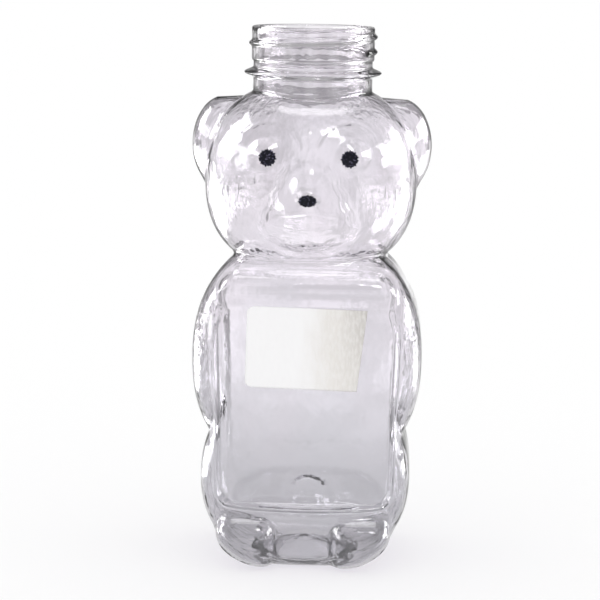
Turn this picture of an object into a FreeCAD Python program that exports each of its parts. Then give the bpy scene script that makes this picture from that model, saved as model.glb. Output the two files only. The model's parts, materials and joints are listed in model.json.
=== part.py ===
"""A clear squeeze bottle in the shape of a sitting bear.

The blown skin with its neck finish and pushed-up base is one piece. The eyes and the nose are
films of ink printed on it, and a paper label is stuck on the flat front panel.
The axis of the neck is +Z, the bear stands on Z = 0 and looks along -Y.
"""
import math
import os

import FreeCAD
import Part
import Sketcher

doc = FreeCAD.newDocument("honey_bear_bottle")
sheet = doc.addObject("Spreadsheet::Sheet", "sizes")

# Every length in millimetres. A "rise", "drop", "forward" or "back" is counted from the centre of
# the form that carries it; an "offset" is counted to the side from the plane between the halves.
SIZES = (
    ("wall", "0.7", "thickness of the blown skin"),
    ("base_thickness", "1.2", "thickness of the base"),
    ("solve_tolerance", "0.002", "how exactly a point of the skin is found"),
    ("overrun", "2", "how far a cutting form passes the face that it cuts"),
    ("row_step", "2.2", "height between two rows of points of the skin"),
    ("chest_height", "70.5", "centre of the chest and arms above the floor"),
    ("chest_half_width", "39.1", "from the axis to the outside of an arm"),
    ("chest_half_depth", "29", "from the axis to the front of the chest"),
    ("chest_half_height", "42", "from the centre of the chest to where it would close"),
    ("column_height", "57", "centre of the upright column between chest and hips"),
    ("column_half_width", "31.5", "from the axis to the side of that column"),
    ("column_half_depth", "28", "from the axis to its front"),
    ("column_half_height", "45", "from its centre to where it ends in the chest and the hips"),
    ("column_blend", "2", "rounding of the crease round the column"),
    ("hip_height", "30", "centre of the hips, a barrel that lies from front to back"),
    ("hip_forward", "0.5", "centre of the hips before the axis"),
    ("hip_half_width", "35.8", "from the axis to the side of the hips"),
    ("hip_half_depth", "28.5", "half the length of the barrel"),
    ("hip_half_height", "31.5", "half the height of the barrel, which the floor cuts off"),
    ("hip_blend", "1.2", "rounding of the crease between hips and chest"),
    ("panel_half_width", "29", "half the width of the flat panels in front and back"),
    ("panel_low", "22.6", "lower edge of the front panel above the floor"),
    ("panel_rise", "22.5", "upper edge of both panels above the centre of the chest"),
    ("panel_corner", "4.5", "rounding of the corners of a panel"),
    ("panel_depth", "25", "from the axis to a panel"),
    ("panel_fillet", "2", "rounding between a panel and the wall round it"),
    ("panel_edge", "2", "rounding of the outer edge of that wall"),
    ("lap_forward", "4", "centre of the wall between the feet before the axis"),
    ("lap_height", "11.6", "centre of that wall above the floor"),
    ("lap_half_width", "24", "half its width"),
    ("lap_half_depth", "25.2", "from its centre to its front"),
    ("lap_half_height", "13", "from its centre to the ledge under the panel"),
    ("foot_offset", "19.5", "centre of a foot beside the axis"),
    ("foot_forward", "19", "centre of a foot before the axis"),
    ("foot_height", "8.6", "centre of a foot above the floor"),
    ("foot_half_width", "10.5", "half its width"),
    ("foot_half_depth", "14.4", "from its centre to its toes"),
    ("foot_half_height", "10.4", "from its centre to its top"),
    ("foot_blend", "1.5", "rounding of the crease round a foot"),
    ("leg_edge", "3", "rounding where the outline of the hips cuts off lap and feet"),
    ("rump_back", "4", "centre of the rump behind the axis"),
    ("rump_height", "9", "centre of the rump above the floor"),
    ("rump_half_width", "27", "half its width"),
    ("rump_half_depth", "24.4", "from its centre to its back"),
    ("rump_half_height", "19", "from its centre to its top"),
    ("rump_blend", "1.5", "rounding of the arch on the back panel"),
    ("tail_back", "27", "centre of the tail behind the axis"),
    ("tail_height", "10.6", "centre of the tail above the floor"),
    ("tail_radius", "7.6", "as seen from behind"),
    ("tail_half_depth", "7", "from its centre to its tip"),
    ("tail_blend", "1.2", "rounding of the crease round the tail"),
    ("head_rise", "18.1", "centre of the head above where the chest would close"),
    ("head_back", "0.5", "centre of the head behind the axis"),
    ("head_half_width", "36.2", "from the axis to a cheek"),
    ("head_half_depth", "30.5", "from its centre to the face and to the back"),
    ("head_half_height", "33", "from its centre to its crown and chin"),
    ("head_blend", "1.2", "rounding of the pinch between head and trunk"),
    ("ear_offset", "29.9", "centre of an ear beside the axis"),
    ("ear_back", "1.5", "centre of an ear behind the axis"),
    ("ear_rise", "11.2", "centre of an ear above the centre of the head"),
    ("ear_half_width", "11.3", "from its centre to its outer edge"),
    ("ear_half_depth", "9", "half its thickness"),
    ("ear_half_height", "16.4", "from its centre to its tip"),
    ("ear_blend", "3", "rounding of the crease behind and before an ear"),
    ("bridge_forward", "24.5", "centre of the bridge of the nose before the axis"),
    ("bridge_drop", "1.6", "centre of the bridge below the centre of the head"),
    ("bridge_half_width", "9", "half its width"),
    ("bridge_half_depth", "7.5", "from its centre to its front"),
    ("bridge_half_height", "11", "half its height"),
    ("bridge_blend", "0.8", "rounding of the crease beside the bridge"),
    ("muzzle_forward", "22.5", "centre of the muzzle before the axis"),
    ("muzzle_drop", "11.6", "centre of the muzzle below the centre of the head"),
    ("muzzle_half_width", "15", "half its width"),
    ("muzzle_half_depth", "11", "from its centre to its front"),
    ("muzzle_half_height", "13", "half its height"),
    ("muzzle_blend", "0.8", "rounding of the crease round the muzzle"),
    ("nose_forward", "31.6", "centre of the tip of the nose before the axis"),
    ("nose_drop", "4.6", "centre of the tip below the centre of the head"),
    ("nose_half_width", "3.7", "half the width of the tip"),
    ("nose_half_depth", "2.2", "from its centre to its front"),
    ("nose_half_height", "2.6", "half its height"),
    ("nose_blend", "0.8", "rounding of the crease round the tip"),
    ("eye_offset", "13.6", "centre of an eye beside the axis"),
    ("eye_forward", "24.5", "centre of the mound under an eye before the axis"),
    ("eye_rise", "9.1", "centre of an eye above the centre of the head"),
    ("eye_radius", "6.6", "of the mound that carries the printed dot"),
    ("eye_half_depth", "5", "from the centre of the mound to its front"),
    ("eye_blend", "1", "rounding of the crease round the mound"),
    ("ink_thickness", "0.1", "printed film of the eyes and the nose"),
    ("ink_clearance", "0.08", "between the skin and a printed film"),
    ("dot_radius", "2.9", "printed dot on an eye"),
    ("lens_half_width", "3.1", "printed lens on the tip of the nose"),
    ("lens_half_height", "2", "half the height of that lens"),
    ("neck_rise", "30.9", "foot of the neck above the centre of the head"),
    ("neck_root", "8", "how far the neck reaches down into the shoulder of the head"),
    ("neck_height", "20.5", "from the foot of the neck to the rim"),
    ("neck_radius", "20.3", "below and just above the bead"),
    ("bead_rise", "4.9", "middle of the bead above the foot of the neck"),
    ("bead_radius", "23.4", "tip of the bead"),
    ("bead_tip", "0.4", "half the width of the bead at its tip"),
    ("bead_under_slope", "2.6", "height of its lower flank"),
    ("bead_upper_slope", "2.2", "height of its upper flank"),
    ("finish_rise", "9", "foot of the threaded wall above the foot of the neck"),
    ("finish_radius", "20.9", "threaded wall, without its thread"),
    ("finish_step", "0.8", "height of the slope at the foot of that wall"),
    ("rim_bevel", "0.7", "bevel round the outside of the rim"),
    ("bore_radius", "18.6", "mouth of the bottle"),
    ("push_up_radius", "17", "edge of the hollow under the base"),
    ("push_up_height", "4.5", "rise of that hollow"),
    ("gate_radius", "3.2", "button in the middle of that hollow"),
    ("gate_height", "0.5", "rise of the button above the hollow"),
    ("label_side_margin", "8.8", "from the sides of the panel to the upper corners of the label"),
    ("label_top_margin", "3.8", "from the upper edge of the panel to the label"),
    ("label_cut_back", "2.6", "how much shorter its lower edge is"),
    ("label_height", "27.8", "of the blank label"),
    ("label_corner", "1.8", "rounding of its two left corners"),
    ("label_thickness", "0.15", "of the paper"),
)
for row, (alias, value, note) in enumerate(SIZES, start=1):
    sheet.set(f"A{row}", alias)
    sheet.set(f"B{row}", value)
    sheet.set(f"C{row}", note)
    sheet.setAlias(f"B{row}", alias)
doc.recompute()
s = {alias: float(sheet.get(alias)) for alias, value, note in SIZES}

# Plain numbers: how square each rounded form is (2 is an ellipsoid), how square some are as seen
# from above or, for the hips, from the front, the lean of the label and how the skin is laid out.
SQUARE_SHARES = {
    "chest": 2.3,
    "column": 8,
    "hip": 6,
    "lap": 4,
    "foot": 3,
    "rump": 3,
    "head": 2.4,
    "muzzle": 2.2,
}
PLAN_SQUARE_SHARES = {"chest": 6, "hip": 2.3, "lap": 6, "rump": 4}
ELLIPSOID = 2
LABEL_LEAN_DEGREES = 1.2
SKIN_COLUMNS = 96
TOP_OPENING_SHARE = 0.6
SKIN_DEGREE = 3
SOLVE_STEPS = 60

panel_high = s["chest_height"] + s["panel_rise"]
head_height = s["chest_height"] + s["chest_half_height"] + s["head_rise"]
rim_height = head_height + s["neck_rise"] + s["neck_height"]


def lobe(name, centre, round_keys=("half_width", "half_height")):
    """One rounded form of the bear: its centre, half sizes and squareness."""
    width_key, height_key = round_keys
    halves = (s[f"{name}_{width_key}"], s[f"{name}_half_depth"], s[f"{name}_{height_key}"])
    return centre, halves, SQUARE_SHARES.get(name, ELLIPSOID), PLAN_SQUARE_SHARES.get(name)


DISC = ("radius", "radius")
CHEST = lobe("chest", (0, 0, s["chest_height"]))
COLUMN = lobe("column", (0, 0, s["column_height"]))
LAP = lobe("lap", (0, -s["lap_forward"], s["lap_height"]))
FOOT = lobe("foot", (s["foot_offset"], -s["foot_forward"], s["foot_height"]))
RUMP = lobe("rump", (0, s["rump_back"], s["rump_height"]))
TAIL = lobe("tail", (0, s["tail_back"], s["tail_height"]), DISC)
HEAD = lobe("head", (0, s["head_back"], head_height))
FACE = {
    "bridge": lobe("bridge", (0, -s["bridge_forward"], head_height - s["bridge_drop"])),
    "muzzle": lobe("muzzle", (0, -s["muzzle_forward"], head_height - s["muzzle_drop"])),
    "nose": lobe("nose", (0, -s["nose_forward"], head_height - s["nose_drop"])),
    "eye": lobe("eye", (s["eye_offset"], -s["eye_forward"], head_height + s["eye_rise"]), DISC),
    "ear": lobe("ear", (s["ear_offset"], s["ear_back"], head_height + s["ear_rise"])),
}
# The barrel of the hips lies along Y, so its own axes are X, Z and then Y.
HIPS = (
    (0, s["hip_height"], -s["hip_forward"]),
    (s["hip_half_width"], s["hip_half_height"], s["hip_half_depth"]),
    SQUARE_SHARES["hip"],
    PLAN_SQUARE_SHARES["hip"],
)


def rounded_form(point, centre, halves, square, plan_square=None):
    """Distance, to first order, of a point from a rounded form: negative inside it."""
    plan_square = plan_square or square
    across, along, up = (abs(p - c) / half for p, c, half in zip(point, centre, halves))
    plan = (across**plan_square + along**plan_square) ** (1 / plan_square)
    reach = (plan**square + up**square) ** (1 / square)
    if reach == 0:
        return -min(halves)
    steep = (up / reach) ** (square - 1) / halves[2]
    if plan > 0:
        level = (plan / reach) ** (square - 1)
        side = level * (across / plan) ** (plan_square - 1) / halves[0]
        front = level * (along / plan) ** (plan_square - 1) / halves[1]
        steep = math.hypot(steep, side, front)
    return (reach - 1) / steep


def melt(one, other, blend):
    """Join two forms with a rounded crease between them."""
    share = max(blend - abs(one - other), 0) / blend
    return min(one, other) - share * share * blend / 4


def cut(body, room, edge):
    """Take a room out of a form and round the edge that is left."""
    return -melt(-body, room, edge)


def panel_room(x, z, depth, low):
    """Distance of a point from the room before a flat panel with rounded corners."""
    beside = x - (s["panel_half_width"] - s["panel_corner"])
    beyond = max(z - (panel_high - s["panel_corner"]), low + s["panel_corner"] - z)
    corner = math.hypot(max(beside, 0), max(beyond, 0))
    outline = corner + min(max(beside, beyond), 0) - s["panel_corner"]
    return cut(outline, -depth, s["panel_fillet"])


def bear(x, y, z):
    """Distance of a point from the outer skin of the bear."""
    x = abs(x)
    point = (x, y, z)
    body = melt(rounded_form(point, *CHEST), rounded_form(point, *COLUMN), s["column_blend"])
    body = melt(body, rounded_form((x, z, y), *HIPS), s["hip_blend"])
    body = cut(body, panel_room(x, z, y + s["panel_depth"], s["panel_low"]), s["panel_edge"])
    body = cut(body, panel_room(x, z, s["panel_depth"] - y, -panel_high), s["panel_edge"])
    legs = melt(rounded_form(point, *LAP), rounded_form(point, *FOOT), s["foot_blend"])
    legs = cut(legs, -rounded_form((x, z, -s["hip_forward"]), *HIPS), s["leg_edge"])
    body = melt(body, legs, s["panel_edge"])
    body = melt(body, rounded_form(point, *RUMP), s["rump_blend"])
    body = melt(body, rounded_form(point, *TAIL), s["tail_blend"])
    head = rounded_form(point, *HEAD)
    for name, form in FACE.items():
        head = melt(head, rounded_form(point, *form), s[f"{name}_blend"])
    return melt(body, head, s["head_blend"])


def skin_radius(angle, height, level):
    """Radius of the skin, moved out by a level, at an angle from the front and a height."""
    radius = s["head_half_width"] + s["ear_half_width"] + s["overrun"]
    for step in range(SOLVE_STEPS):
        gap = bear(radius * math.sin(angle), -radius * math.cos(angle), height) - level
        radius -= gap
        if abs(gap) < s["solve_tolerance"]:
            break
    return radius


def top_of_skin(level):
    """Height at which the front of the head has closed to well inside the neck."""
    inner = s["bore_radius"] * TOP_OPENING_SHARE
    height = rim_height
    for step in range(SOLVE_STEPS):
        gap = bear(0, -inner, height) - level
        height -= gap
        if abs(gap) < s["solve_tolerance"]:
            break
    return height


def skin_rows(level, bottom):
    """Rows of points of the skin moved out by a level; all skins share the heights between."""
    top = top_of_skin(level)
    first = math.floor(bottom / s["row_step"]) + 1
    last = math.ceil(top / s["row_step"]) - 1
    heights = [bottom] + [row * s["row_step"] for row in range(first, last)] + [top]
    half = SKIN_COLUMNS // 2
    rows = []
    for height in heights:
        radii = [skin_radius(math.pi * i / half, height, level) for i in range(half + 1)]
        points = []
        for column in range(SKIN_COLUMNS):
            angle = math.pi * (column - half) / half
            radius = radii[abs(column - half)]
            x = radius * math.sin(angle)
            y = -radius * math.cos(angle)
            points.append(FreeCAD.Vector(x, y, height))
        rows.append(points)
    return rows


def skin_solid(level, bottom):
    """Solid under the skin moved out by a level, from the bottom height up into the neck."""
    rows = skin_rows(level, bottom)
    around = list(range(SKIN_COLUMNS + 1))
    upward = list(range(len(rows) + 1 - SKIN_DEGREE))
    ends = SKIN_DEGREE + 1
    surface = Part.BSplineSurface()
    surface.buildFromPolesMultsKnots(
        [[points[column] for points in rows] for column in range(SKIN_COLUMNS)],
        [1] * len(around),
        [ends] + [1] * (len(upward) - 2) + [ends],
        around,
        upward,
        True,
        False,
        SKIN_DEGREE,
        SKIN_DEGREE,
    )
    skin = surface.toShape()
    rings = sorted((e for e in skin.Edges if e.isClosed()), key=lambda e: e.CenterOfMass.z)
    caps = [Part.Face(Part.Wire([ring])) for ring in (rings[0], rings[-1])]
    closed = Part.Shell([skin] + caps)
    closed.sewShape()
    solid = Part.Solid(closed)
    if solid.Volume < 0:
        solid.reverse()
    return solid


def skin_feature(name, level, bottom):
    feature = doc.addObject("Part::Feature", name)
    feature.Shape = skin_solid(level, bottom)
    return feature


def place(target, x="0", y="0", z="0"):
    """Bind the place of an object to the sheet."""
    target.setExpression("Placement.Base.x", x)
    target.setExpression("Placement.Base.y", y)
    target.setExpression("Placement.Base.z", z)


def join(kind, name, **links):
    result = doc.addObject(kind, name)
    for key, link in links.items():
        setattr(result, key, link)
    return result


HEAD_HEIGHT = "(sizes.chest_height + sizes.chest_half_height + sizes.head_rise)"
NECK_FOOT = f"({HEAD_HEIGHT} + sizes.neck_rise)"

outer_skin = skin_feature("outer_skin", 0, 0)
inner_skin = skin_feature("inner_skin", -s["wall"], s["base_thickness"])

# Neck: half of its section, turned once round the axis. Each corner is (radius, height).
NECK_CORNERS = (
    ("0", "-sizes.neck_root"),
    ("sizes.neck_radius", "-sizes.neck_root"),
    ("sizes.neck_radius", "sizes.bead_rise - sizes.bead_tip - sizes.bead_under_slope"),
    ("sizes.bead_radius", "sizes.bead_rise - sizes.bead_tip"),
    ("sizes.bead_radius", "sizes.bead_rise + sizes.bead_tip"),
    ("sizes.neck_radius", "sizes.bead_rise + sizes.bead_tip + sizes.bead_upper_slope"),
    ("sizes.neck_radius", "sizes.finish_rise"),
    ("sizes.finish_radius", "sizes.finish_rise + sizes.finish_step"),
    ("sizes.finish_radius", "sizes.neck_height - sizes.rim_bevel"),
    ("sizes.finish_radius - sizes.rim_bevel", "sizes.neck_height"),
    ("0", "sizes.neck_height"),
)


def evaluate(expression):
    return float(sheet.evalExpression(expression))


def polygon_sketch(body, name, corners):
    """Closed sketch on the front plane whose corners are bound to the sheet."""
    sketch = body.newObject("Sketcher::SketchObject", name)
    sketch.AttachmentSupport = [(body.Origin.OriginFeatures[4], "")]
    sketch.MapMode = "FlatFace"
    count = len(corners)
    spots = []
    for across, upward in corners:
        spots.append(FreeCAD.Vector(evaluate(across), evaluate(upward), 0))
    for i, spot in enumerate(spots):
        sketch.addGeometry(Part.LineSegment(spot, spots[(i + 1) % count]), False)
    for i in range(count):
        sketch.addConstraint(Sketcher.Constraint("Coincident", i, 2, (i + 1) % count, 1))
    for i, (across, upward) in enumerate(corners):
        for kind, expression, now in (
            ("DistanceX", across, spots[i].x),
            ("DistanceY", upward, spots[i].y),
        ):
            if expression == "0":
                on_axis = "PointOnObject"
                axis = -2 if kind == "DistanceX" else -1
                sketch.addConstraint(Sketcher.Constraint(on_axis, i, 1, axis))
                continue
            number = sketch.addConstraint(Sketcher.Constraint(kind, -1, 1, i, 1, now))
            sketch.setExpression(f"Constraints[{number}]", expression)
    return sketch


neck = doc.addObject("PartDesign::Body", "neck")
neck_section = polygon_sketch(neck, "neck_section", NECK_CORNERS)
neck_turn = neck.newObject("PartDesign::Revolution", "neck_turn")
neck_turn.Profile = neck_section
neck_turn.ReferenceAxis = (neck_section, ["V_Axis"])
neck_turn.Angle = 360
place(neck, z=NECK_FOOT)

bore = doc.addObject("Part::Cylinder", "bore")
bore.setExpression("Radius", "sizes.bore_radius")
bore.setExpression("Height", "sizes.neck_root + sizes.neck_height + sizes.overrun")
place(bore, z=f"{NECK_FOOT} - sizes.neck_root")

# Push-up under the base: a shallow dome with a button, and the same two moved in by the base.
DOME_RADIUS = (
    "((sizes.push_up_radius ^ 2 + sizes.push_up_height ^ 2) / (2 * sizes.push_up_height))"
)


def push_up(name, growth):
    dome = doc.addObject("Part::Sphere", f"{name}_dome")
    dome.setExpression("Radius", f"{DOME_RADIUS} + {growth}")
    place(dome, z=f"sizes.push_up_height - {DOME_RADIUS}")
    button = doc.addObject("Part::Cylinder", f"{name}_button")
    button.setExpression("Radius", f"sizes.gate_radius + {growth}")
    button.setExpression("Height", f"sizes.push_up_height + sizes.gate_height + {growth}")
    return join("Part::Fuse", name, Base=dome, Tool=button)


hollow_under = push_up("hollow_under", "0")
hollow_inside = push_up("hollow_inside", "sizes.base_thickness")

blank = join("Part::Fuse", "blank", Base=outer_skin, Tool=neck)
room = join("Part::Cut", "room", Base=inner_skin, Tool=hollow_inside)
room_and_mouth = join("Part::Fuse", "room_and_mouth", Base=room, Tool=bore)
opened = join("Part::Cut", "opened", Base=blank, Tool=room_and_mouth)
bottle = join("Part::Cut", "bottle", Base=opened, Tool=hollow_under)

# Print: what lies between the skin moved out by the clearance and by the ink, inside a punch that
# runs forward from the plane of the ears.
ink_seat = skin_feature("ink_seat", s["ink_clearance"], 0)
ink_skin = skin_feature("ink_skin", s["ink_clearance"] + s["ink_thickness"], 0)
FORWARD = FreeCAD.Rotation(FreeCAD.Vector(1, 0, 0), 90)
PUNCH_LENGTH = "sizes.head_half_depth + sizes.muzzle_half_depth"


def printed(node, punch):
    film = join("Part::Common", f"{node}_film", Base=ink_skin, Tool=punch)
    return join("Part::Cut", node, Base=film, Tool=ink_seat)


def eye(node, side):
    punch = doc.addObject("Part::Cylinder", f"{node}_punch")
    punch.Placement = FreeCAD.Placement(FreeCAD.Vector(), FORWARD)
    punch.setExpression("Radius", "sizes.dot_radius")
    punch.setExpression("Height", PUNCH_LENGTH)
    place(punch, x=f"{side} * sizes.eye_offset", z=f"{HEAD_HEIGHT} + sizes.eye_rise")
    return printed(node, punch)


left_eye = eye("left_eye", -1)
right_eye = eye("right_eye", 1)

nose_outline = doc.addObject("Part::Ellipse", "nose_outline")
nose_outline.Placement = FreeCAD.Placement(FreeCAD.Vector(), FORWARD)
nose_outline.setExpression("MajorRadius", "sizes.lens_half_width")
nose_outline.setExpression("MinorRadius", "sizes.lens_half_height")
place(nose_outline, z=f"{HEAD_HEIGHT} - sizes.nose_drop")
nose_punch = join("Part::Extrusion", "nose_punch", Base=nose_outline)
nose_punch.DirMode = "Custom"
nose_punch.Dir = FreeCAD.Vector(0, -1, 0)
nose_punch.Solid = True
nose_punch.setExpression("LengthFwd", PUNCH_LENGTH)
nose = printed("nose", nose_punch)

# Label: a pad on the front panel, its right edge cut on a slant and its left corners rounded.
HALF_LABEL = "(sizes.panel_half_width - sizes.label_side_margin)"
LABEL_MIDDLE = "sizes.chest_height + sizes.panel_rise - sizes.label_top_margin - sizes.label_height / 2"
LABEL_CORNERS = (
    (f"-{HALF_LABEL}", "-sizes.label_height / 2"),
    (f"{HALF_LABEL} - sizes.label_cut_back", "-sizes.label_height / 2"),
    (HALF_LABEL, "sizes.label_height / 2"),
    (f"-{HALF_LABEL}", "sizes.label_height / 2"),
)
paper_label = doc.addObject("PartDesign::Body", "paper_label")
label_outline = polygon_sketch(paper_label, "label_outline", LABEL_CORNERS)
sheet_of_paper = paper_label.newObject("PartDesign::Pad", "sheet_of_paper")
sheet_of_paper.Profile = label_outline
sheet_of_paper.setExpression("Length", "sizes.label_thickness")
doc.recompute()
left_corners = []
for number, edge in enumerate(sheet_of_paper.Shape.Edges, start=1):
    ends = [vertex.Point for vertex in edge.Vertexes]
    through = abs(ends[0].y - ends[1].y) > s["label_thickness"] / 2
    if through and ends[0].x < 0:
        left_corners.append(f"Edge{number}")
rounded_corners = paper_label.newObject("PartDesign::Fillet", "rounded_corners")
rounded_corners.Base = (sheet_of_paper, left_corners)
rounded_corners.setExpression("Radius", "sizes.label_corner")
lean = FreeCAD.Rotation(FreeCAD.Vector(0, 1, 0), LABEL_LEAN_DEGREES)
paper_label.Placement = FreeCAD.Placement(FreeCAD.Vector(), lean)
place(paper_label, y="-sizes.panel_depth", z=LABEL_MIDDLE)
doc.recompute()

for item in doc.Objects:
    if "Invalid" in item.State or "Error" in item.State:
        raise RuntimeError(f"{item.Name} did not build: {item.State}")
os.makedirs("parts", exist_ok=True)
for node in (bottle, left_eye, right_eye, nose, paper_label):
    shape = node.Shape
    if shape.isNull() or not shape.isValid() or len(shape.Solids) != 1:
        raise RuntimeError(f"{node.Label} is not one valid solid")
    shape.exportStep(f"parts/{node.Label}.step")
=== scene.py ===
"""Looks of the clear squeeze bottle in the shape of a sitting bear.

The blown skin is a sheet of quads rolled round the axis of the neck: up the outside, over the rim
and down the inside. Lengths are in millimetres until a mesh gets its points, which are in metres.
Materials and lights work in metres, too.
"""
import json
import math

import bpy
import numpy as np
from mathutils import Matrix, Vector


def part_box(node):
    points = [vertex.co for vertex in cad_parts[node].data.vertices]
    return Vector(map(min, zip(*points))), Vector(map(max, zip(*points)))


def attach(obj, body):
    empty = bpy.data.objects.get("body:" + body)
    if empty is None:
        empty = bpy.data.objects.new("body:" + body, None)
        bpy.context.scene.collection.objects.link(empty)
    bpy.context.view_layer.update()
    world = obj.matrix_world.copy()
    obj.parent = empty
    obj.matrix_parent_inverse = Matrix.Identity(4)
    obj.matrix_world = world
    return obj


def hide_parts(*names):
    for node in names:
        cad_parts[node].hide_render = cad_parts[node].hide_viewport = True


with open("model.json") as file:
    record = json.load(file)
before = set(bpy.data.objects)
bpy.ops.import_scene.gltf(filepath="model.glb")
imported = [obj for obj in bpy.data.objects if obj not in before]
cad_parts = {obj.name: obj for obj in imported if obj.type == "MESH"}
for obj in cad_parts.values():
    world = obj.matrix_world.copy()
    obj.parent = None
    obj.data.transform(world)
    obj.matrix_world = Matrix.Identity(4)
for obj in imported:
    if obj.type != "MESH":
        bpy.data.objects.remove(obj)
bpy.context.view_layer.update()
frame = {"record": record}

MM = 0.001


def node_box(node):
    """Lowest and highest corner of a solid, in millimetres."""
    low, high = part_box(node)
    return np.array(low) / MM, np.array(high) / MM


RIM = node_box("bottle")[1][2]
MOUNTS = {mount["name"]: mount for mount in frame["record"]["mounts"]}
BORE = MOUNTS["neck_bore"]["dims"]["r_mm"]

# Skin of the bear. Every form has its centre on the right half, half sizes, squareness, blend with
# the forms before it and, where it differs, its squareness as seen from above.
WALL = 0.7
FLOOR_THICKNESS = 1.2
TRUNK_FORMS = {
    "chest": ((0, 0, 70.5), (39.1, 29, 42), 2.3, 1, 6),
    "column": ((0, 0, 57), (31.5, 28, 45), 8, 1, 12),
}
# The hips are a barrel that lies from front to back: its axes are given as (X, Z, Y).
HIPS = ((0, 30, -0.5), (35.8, 31.5, 28.5), 6, 2.3)
HIP_BLEND = 1.2
LEG_FORMS = {
    "lap": ((0, -4, 11.6), (24, 25.2, 13), 4, 0.8, 6),
    "foot": ((19.5, -19, 8.6), (10.5, 14.3, 10.4), 3, 0.8, 4.4),
    "rump": ((0, 4, 8), (33, 24.4, 25), 2.2, 0.6, 4),
}
OUTLINE_BLEND = 2
LEG_EDGE = 2
BACK_FORMS = {
    "tail": ((0, 27, 12.4), (7.4, 6.7, 7.4), 2, 1.5),
}
HEAD = ((0, 0.5, 130.6), (36.2, 30.5, 33), 2.4, 1.2)
HEAD_FORMS = {
    "bridge": ((0, -24.5, 129), (9, 7.5, 11), 2, 0.8),
    "muzzle": ((0, -22.5, 120), (15, 10.7, 12), 2.2, 3),
    "nose": ((0, -31.6, 126), (3.7, 1.85, 2.6), 2, 0.8),
    "eye_mound": ((13.6, -24.5, 139.7), (6.6, 5, 6.6), 2, 1),
    "ear": ((29.9, 1.5, 141.8), (11.05, 9, 16.2), 2, 2),
}
EDGE_OF_BASE = 2

# Flat panels at the front and the back, and the heights over which their edges grow softer
PANEL = {
    "half_width": 28.4,
    "low": 22.6,
    "high": 93,
    "corner": 4.5,
    "depth": 25,
    "fillet": 0.8,
    "edge": 0.6,
}
PANEL_DRAFT = 0.45
PANEL_SPREAD = 0.03
PANEL_SAG = 1.9
TOP_FILLET = 4
TOP_FILLET_HEIGHTS = (80, 92)
SOFT_EDGE = 2.5
FRONT_SOFT_HEIGHTS = (84, 91)
BACK_SOFT_HEIGHTS = (76, 90)
BACK_SOFTER = 3

# Carving of the outer skin that is finer than its forms
FRONT_FADE = 4
BROW = {"centre": (12.9, 140.8), "radius": 10.4, "half_width": 0.8, "height": 0.1}
BROW_DEGREES = (40, 149)
BROW_FADE_DEGREES = 30
LIPS = (
    # height in the middle, rise to the sides, half length, half width, depth
    (116.2, 0.012, 10.5, 1.0, 0.14),
    (121.6, -0.016, 14, 1.6, 0.07),
)
LIP_FULL_SHARE = 0.6
CHEEK_LINE = {"top": (7.4, 137.6), "bottom": (15.2, 117), "half_width": 1.3, "height": 0.3}
CHEEK_FADE_IN = (-0.05, 0.15)
CHEEK_FADE_OUT = (0.85, 1.1)
CHEEK_WIGGLE = 0.35
EAR_DISH = {"centre": (33, 141), "half": (5, 9), "depth": 0.35}
FUR = {"width": 2.8, "length": 6, "girth": 34, "height": 0.1}
FUR_SWAY = 1.7
FUR_SLANT = 0.8
FUR_TIP_SWAY = 1.2
FUR_SHARES = {"even": 0.6, "broken": 0.4, "tips": 0.5}
FUR_PATCHES = (
    # middle and half sizes across and up, share of the full height
    ((24.5, 126), (11, 10.5), 1.5),
    ((16, 156), (9, 6), 0.6),
    ((34.8, 75), (5.5, 24), 1.6),
)

# Neck, with heights counted down from the rim
NECK = {"radius": 20.3, "finish_radius": 20.9, "bead_radius": 23.4}
BEAD_DROP = 15.6
BEAD_HALF = 1.9
FINISH_DROP = 11.1
FINISH_STEP = 0.8
RIM_ROUND = 0.8
NECK_FOOT_DROP = 27
NECK_BLEND = 0.5
BORE_BLEND = 1
THREAD = {
    "height": 1.0,
    "half_width": 1.35,
    "pitch": 5,
    "start_drop": 8.8,
    "turns": 1.25,
    "taper": 0.06,
}
THREAD_START_DEGREES = 60

# Push-up under the base
PUSH_UP = {"radius": 17, "height": 3.4, "gate_radius": 3.2, "gate_height": 0.5}

# Columns of the skin on its right half. On head, neck and base they lead out from the axis, and on
# the trunk from a flat core to its section: stops across and in depth, columns since the last one.
TRUNK_SECTION = (
    (0, -26, 0),
    (8, -26, 6),
    (12, -26, 8),
    (26.5, -26, 12),
    (31.5, -26, 20),
    (37, -22, 12),
    (40, 0, 20),
    (37, 22, 6),
    (31.5, 26, 4),
    (26.5, 26, 8),
    (0, 26, 14),
)
FRONT_CROWDING_SHARE = 0.5
CORE_END = 27
CORE_SHARE = 0.93
# Heights where the core starts, is full at its ends, starts to shrink and is gone
CORE_HEIGHTS = (1.5, 14, 92, 108)
CORE_MIDDLE_FULL = 4
SAG_REACH = 9

# Rows of the skin: the first height, then further heights with the number of rows up to each
OUTER_ROWS = (
    0,
    (2.4, 6),
    (18, 22),
    (21.4, 5),
    (23.8, 10),
    (26, 3),
    (86, 70),
    (98, 16),
    (112, 20),
    (152, 72),
    (163, 20),
    (168, 14),
    (RIM - 1.8, 32),
)
INNER_ROWS = (
    RIM - 4,
    (162, 4),
    (150, 12),
    (112, 22),
    (98, 16),
    (84, 16),
    (30, 12),
    (17, 14),
    (FLOOR_THICKNESS + 3, 8),
    (FLOOR_THICKNESS, 4),
)
PUSH_UP_ROWS = 15
INNER_PUSH_UP_ROWS = 14
OUTER_LIP_ROWS = 5
INNER_LIP_ROWS = 4
BASE_RING_SHARES = (0.25, 0.5, 0.75, 0.92)
FLOOR_RING_SHARES = (0.8, 0.5, 0.2)

# Search for the skin from outside, along a column or from the front
SOLVE_STEPS = 90
SOLVE_TOLERANCE = 0.001
START_REACH = 52.0
START_DEPTH = -45.0


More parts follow.
